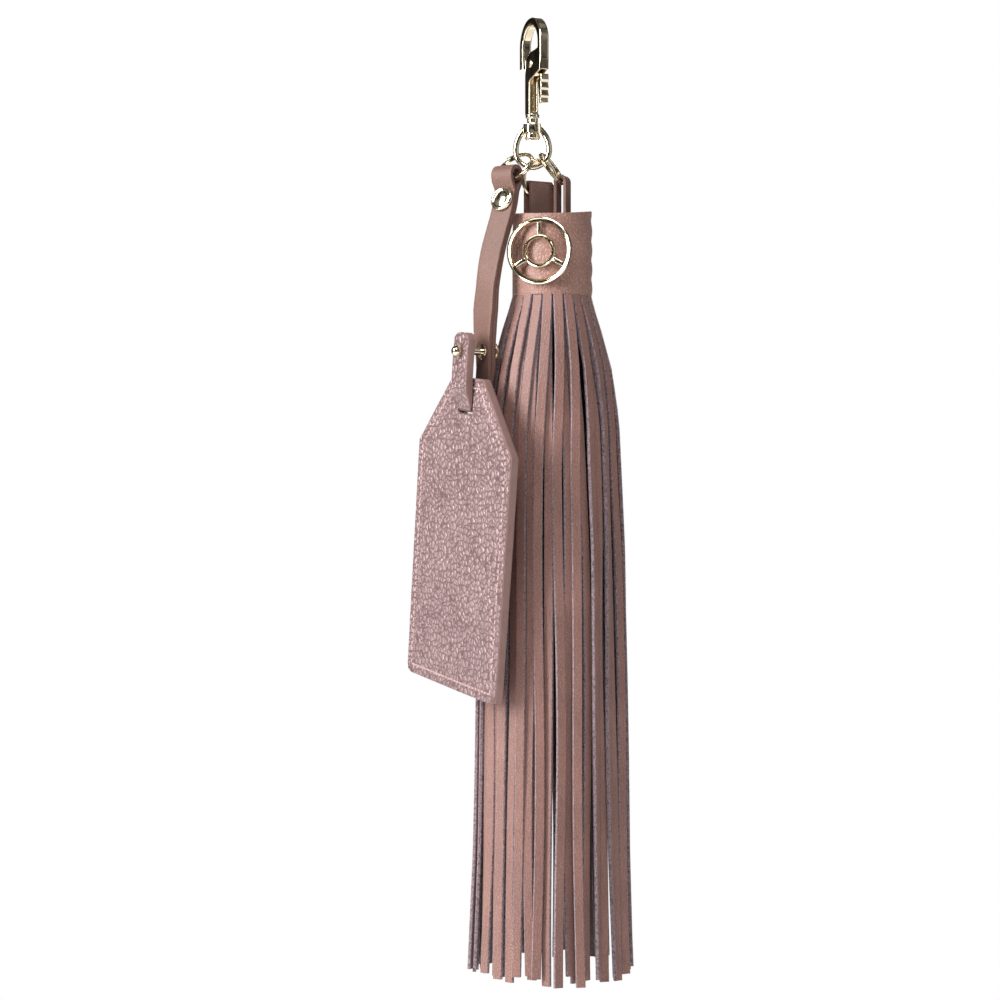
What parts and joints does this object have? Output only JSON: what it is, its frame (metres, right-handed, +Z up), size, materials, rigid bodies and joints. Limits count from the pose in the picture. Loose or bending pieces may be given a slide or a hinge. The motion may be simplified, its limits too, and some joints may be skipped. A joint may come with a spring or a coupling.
{
  "type": "bag charm",
  "caption": "Leather tassel with a capped top and round ornament, and a luggage tag on a twisted strap, hanging from rings on a swivel trigger hook.",
  "frame": {"origin": "the point under the hook's arch that a bag's ring hangs from", "axes": "+Z up along the hanging charm, -Y towards its front, +X to the right of someone facing it"},
  "size_m": [0.0694, 0.0579, 0.2861],
  "materials": {
    "pale_gold": "polished light gold plating",
    "spring_steel": "bright spring wire",
    "tassel_leather": "smooth dusty mauve tan leather, raw grey-lilac edges",
    "strap_leather": "smooth dusty mauve tan leather, raw grey-lilac edges",
    "tag_leather": "fine pebbled pearly pink leather",
    "board": "plain stiffening board"
  },
  "bodies": {
    "hook": {"hook_body": "pale_gold", "lever_pin": "pale_gold", "lever_spring": "spring_steel", "swivel_rivet": "pale_gold"},
    "lever": {"thumb_lever": "pale_gold"},
    "swivel": {"swivel_eye": "pale_gold"},
    "tag_ring": {"tag_ring": "pale_gold"},
    "strap": {"tag_strap": "strap_leather", "rivet_cap": "pale_gold", "rivet_back_cap": "pale_gold", "ball_stud": "pale_gold", "stud_screw": "pale_gold"},
    "tag": {"tag_front": "tag_leather", "tag_stiffener": "board", "tag_back": "tag_leather"},
    "tassel_rings": {"tassel_ring": "pale_gold", "back_ring": "pale_gold"},
    "tassel": {"front_loop": "tassel_leather", "back_loop": "tassel_leather", "core_roll": "tassel_leather", "cap_wrap": "tassel_leather", "ornament": "pale_gold", "ornament_plate": "pale_gold", "fringe_bundle_4": "tassel_leather", "fringe_bundle_5": "tassel_leather"},
    "fringe_1": {"fringe_bundle_1": "tassel_leather"},
    "fringe_2": {"fringe_bundle_2": "tassel_leather"},
    "fringe_3": {"fringe_bundle_3": "tassel_leather"},
    "fringe_6": {"fringe_bundle_6": "tassel_leather"}
  },
  "joints": [
    {"name": "lever_pull", "type": "hinge", "parent": "hook", "child": "lever", "pos_m": [0.0006, -0.00148, -0.0113], "axis": [0.9272, 0.3746, 0], "range_deg": [0, 24], "stiffness_Nm_per_rad": 0.02, "springref_deg": -14.32},
    {"name": "swivel_spin", "type": "hinge", "parent": "hook", "child": "swivel", "pos_m": [0, 0, -0.0305], "axis": [0, 0, 1], "continuous": true},
    {"name": "tag_ring_swing", "type": "hinge", "parent": "swivel", "child": "tag_ring", "pos_m": [-0.00421, 0.00082, -0.0395], "axis": [-0.9061, 0.423, 0], "range_deg": [0, 25]},
    {"name": "strap_swing", "type": "hinge", "parent": "tag_ring", "child": "strap", "pos_m": [-0.0076, -0.0038, -0.0452], "axis": [-0.809, 0.5878, 0], "range_deg": [0, 15]},
    {"name": "tag_swing", "type": "hinge", "parent": "strap", "child": "tag", "pos_m": [-0.01834, -0.00769, -0.11517], "axis": [-0.4961, 0.8597, 0.1219], "range_deg": [0, 8]},
    {"name": "tassel_ring_swing", "type": "hinge", "parent": "swivel", "child": "tassel_rings", "pos_m": [0.00108, -0.00021, -0.04248], "axis": [0.7071, -0.7071, 0], "range_deg": [0, 28]},
    {"name": "tassel_swing", "type": "hinge", "parent": "tassel_rings", "child": "tassel", "pos_m": [0.00218, 0.0004, -0.0512], "axis": [0.8755, 0.4833, 0], "range_deg": [0, 2]},
    {"name": "fringe_1_swing", "type": "hinge", "parent": "tassel", "child": "fringe_1", "pos_m": [0.01775, 0.0015, -0.0812], "axis": [0, -1, 0], "range_deg": [0, 6]},
    {"name": "fringe_2_swing", "type": "hinge", "parent": "tassel", "child": "fringe_2", "pos_m": [0.0118, 0.01181, -0.0812], "axis": [0.866, -0.5, 0], "range_deg": [0, 6]},
    {"name": "fringe_3_swing", "type": "hinge", "parent": "tassel", "child": "fringe_3", "pos_m": [-0.0001, 0.01181, -0.0812], "axis": [0.866, 0.5, 0], "range_deg": [0, 6]},
    {"name": "fringe_6_swing", "type": "hinge", "parent": "tassel", "child": "fringe_6", "pos_m": [0.0118, -0.00881, -0.0812], "axis": [-0.866, -0.5, 0], "range_deg": [0, 6]}
  ]
}
